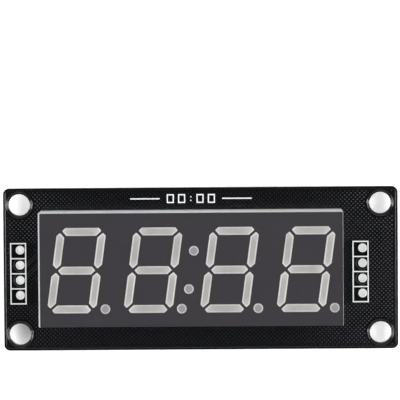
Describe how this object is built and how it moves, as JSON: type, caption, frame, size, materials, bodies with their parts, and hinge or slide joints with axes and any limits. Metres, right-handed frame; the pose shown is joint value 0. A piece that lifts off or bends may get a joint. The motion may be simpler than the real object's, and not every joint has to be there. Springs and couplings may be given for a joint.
{
  "type": "seven segment display module",
  "caption": "Seven segment display with a colon on a black circuit board, with a driver chip on its back, header holes at both ends and a mounting hole at each corner.",
  "frame": {"origin": "middle of the four mounting holes, on the back face of the circuit board", "axes": "+X along the board, to the right of the digits; +Y to the top of the digits; +Z out of the face of the display"},
  "size_m": [0.0664, 0.0274, 0.0121],
  "materials": {
    "black_board": "satin",
    "tinned_copper": "satin",
    "white_ink": "matt",
    "white_plastic": "satin",
    "dark_print": "matt",
    "diffusing_resin": "smooth",
    "die_board_laminate": "satin",
    "die_crystal": "smooth",
    "potting": "smooth",
    "solder": "smooth",
    "chip_epoxy": "matt",
    "capacitor_ceramic": "matt",
    "resistor_film": "smooth"
  },
  "bodies": {
    "root": {"circuit_board": "black_board", "header_pads_left": "tinned_copper", "header_pads_right": "tinned_copper", "header_marks_left": "white_ink", "header_marks_right": "white_ink", "front_mark": "white_ink", "display_body": "white_plastic", "face_print": "dark_print", "die_board": "die_board_laminate", "led_dies": "die_crystal", "potting_resin": "potting", "display_pins": "tinned_copper", "pin_solder": "solder", "chip_body": "chip_epoxy", "chip_leads": "tinned_copper", "chip_solder": "solder", "capacitor_bodies": "capacitor_ceramic", "capacitor_ends": "tinned_copper", "resistor_bodies": "resistor_film", "resistor_ends": "tinned_copper", "small_part_solder": "solder", "digit_1_segment_a": "diffusing_resin", "digit_1_segment_b": "diffusing_resin", "digit_1_segment_c": "diffusing_resin", "digit_1_segment_d": "diffusing_resin", "digit_1_segment_e": "diffusing_resin", "digit_1_segment_f": "diffusing_resin", "digit_1_segment_g": "diffusing_resin", "digit_2_segment_a": "diffusing_resin", "digit_2_segment_b": "diffusing_resin", "digit_2_segment_c": "diffusing_resin", "digit_2_segment_d": "diffusing_resin", "digit_2_segment_e": "diffusing_resin", "digit_2_segment_f": "diffusing_resin", "digit_2_segment_g": "diffusing_resin", "digit_3_segment_a": "diffusing_resin", "digit_3_segment_b": "diffusing_resin", "digit_3_segment_c": "diffusing_resin", "digit_3_segment_d": "diffusing_resin", "digit_3_segment_e": "diffusing_resin", "digit_3_segment_f": "diffusing_resin", "digit_3_segment_g": "diffusing_resin", "digit_4_segment_a": "diffusing_resin", "digit_4_segment_b": "diffusing_resin", "digit_4_segment_c": "diffusing_resin", "digit_4_segment_d": "diffusing_resin", "digit_4_segment_e": "diffusing_resin", "digit_4_segment_f": "diffusing_resin", "digit_4_segment_g": "diffusing_resin", "digit_1_decimal_point": "diffusing_resin", "digit_2_decimal_point": "diffusing_resin", "digit_3_decimal_point": "diffusing_resin", "digit_4_decimal_point": "diffusing_resin", "colon_dot_upper": "diffusing_resin", "colon_dot_lower": "diffusing_resin"}
  },
  "joints": []
}
